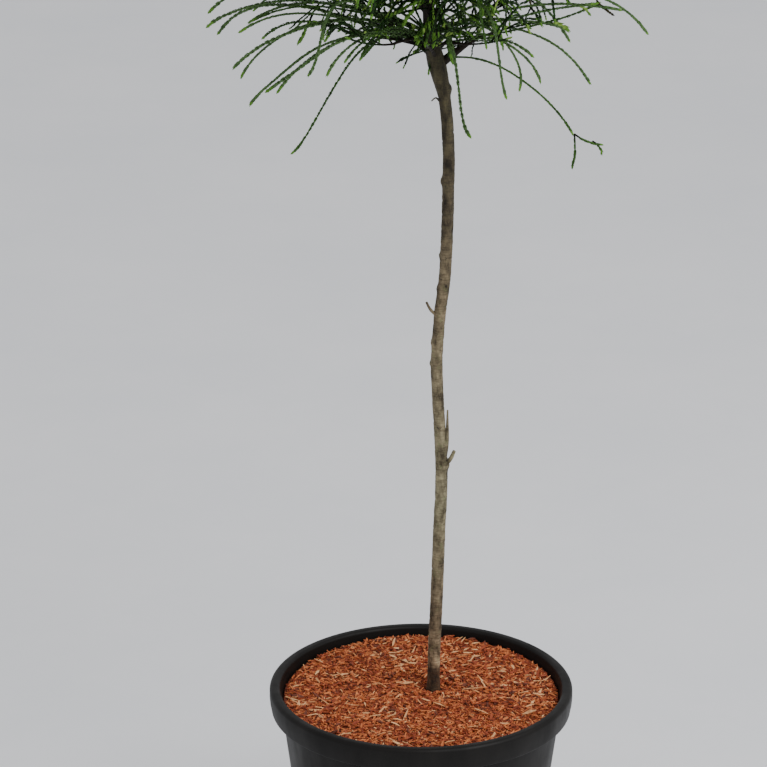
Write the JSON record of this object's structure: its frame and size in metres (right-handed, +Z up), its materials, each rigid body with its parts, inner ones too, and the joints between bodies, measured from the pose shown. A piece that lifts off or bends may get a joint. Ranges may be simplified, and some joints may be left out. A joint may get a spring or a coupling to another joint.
{
  "type": "potted whipcord cedar standard",
  "caption": "Small conifer grown as a standard: a slim clear stem with a mop head of arching cord-like shoots, in a round black nursery pot with bark mulch.",
  "frame": {"origin": "centre of the pot's flat underside, on the surface it stands on", "axes": "+Z up along the stem, +X to the right and +Y away for someone who looks at the front of the plant"},
  "size_m": [0.3956, 0.4048, 1.1669],
  "materials": {
    "pot_plastic": "semi-matte black injection-moulded plastic, slightly dusty",
    "potting_mix": "damp dark potting mix",
    "shredded_bark": "rough shredded orange-brown bark",
    "stem_bark": "fine-fissured grey-brown bark with pale flecks",
    "bough_bark": "smooth brown young bark",
    "whip_foliage": "satin green scale leaves, lime at the tips"
  },
  "bodies": {
    "root": {"pot": "pot_plastic", "potting_mix": "potting_mix", "bark_mulch": "shredded_bark", "trunk": "stem_bark", "bough_skirt_1": "bough_bark", "bough_skirt_2": "bough_bark", "bough_skirt_3": "bough_bark", "bough_skirt_4": "bough_bark", "bough_skirt_5": "bough_bark", "bough_skirt_6": "bough_bark", "bough_skirt_7": "bough_bark", "bough_skirt_8": "bough_bark", "bough_middle_1": "bough_bark", "bough_middle_2": "bough_bark", "bough_middle_3": "bough_bark", "bough_middle_4": "bough_bark", "bough_middle_5": "bough_bark", "bough_middle_6": "bough_bark", "bough_middle_7": "bough_bark", "bough_upper_1": "bough_bark", "bough_upper_2": "bough_bark", "bough_upper_3": "bough_bark", "bough_upper_4": "bough_bark", "bough_upper_5": "bough_bark", "foliage_hem_1": "whip_foliage", "foliage_hem_2": "whip_foliage", "foliage_hem_3": "whip_foliage", "foliage_hem_4": "whip_foliage", "foliage_hem_5": "whip_foliage", "foliage_hem_6": "whip_foliage", "foliage_skirt_1": "whip_foliage", "foliage_skirt_2": "whip_foliage", "foliage_skirt_3": "whip_foliage", "foliage_skirt_4": "whip_foliage", "foliage_skirt_5": "whip_foliage", "foliage_skirt_6": "whip_foliage", "foliage_skirt_7": "whip_foliage", "foliage_skirt_8": "whip_foliage", "foliage_middle_1": "whip_foliage", "foliage_middle_2": "whip_foliage", "foliage_middle_3": "whip_foliage", "foliage_middle_4": "whip_foliage", "foliage_middle_5": "whip_foliage", "foliage_middle_6": "whip_foliage", "foliage_middle_7": "whip_foliage", "foliage_upper_1": "whip_foliage", "foliage_upper_2": "whip_foliage", "foliage_upper_3": "whip_foliage", "foliage_upper_4": "whip_foliage", "foliage_upper_5": "whip_foliage", "foliage_crest_1": "whip_foliage"}
  },
  "joints": []
}
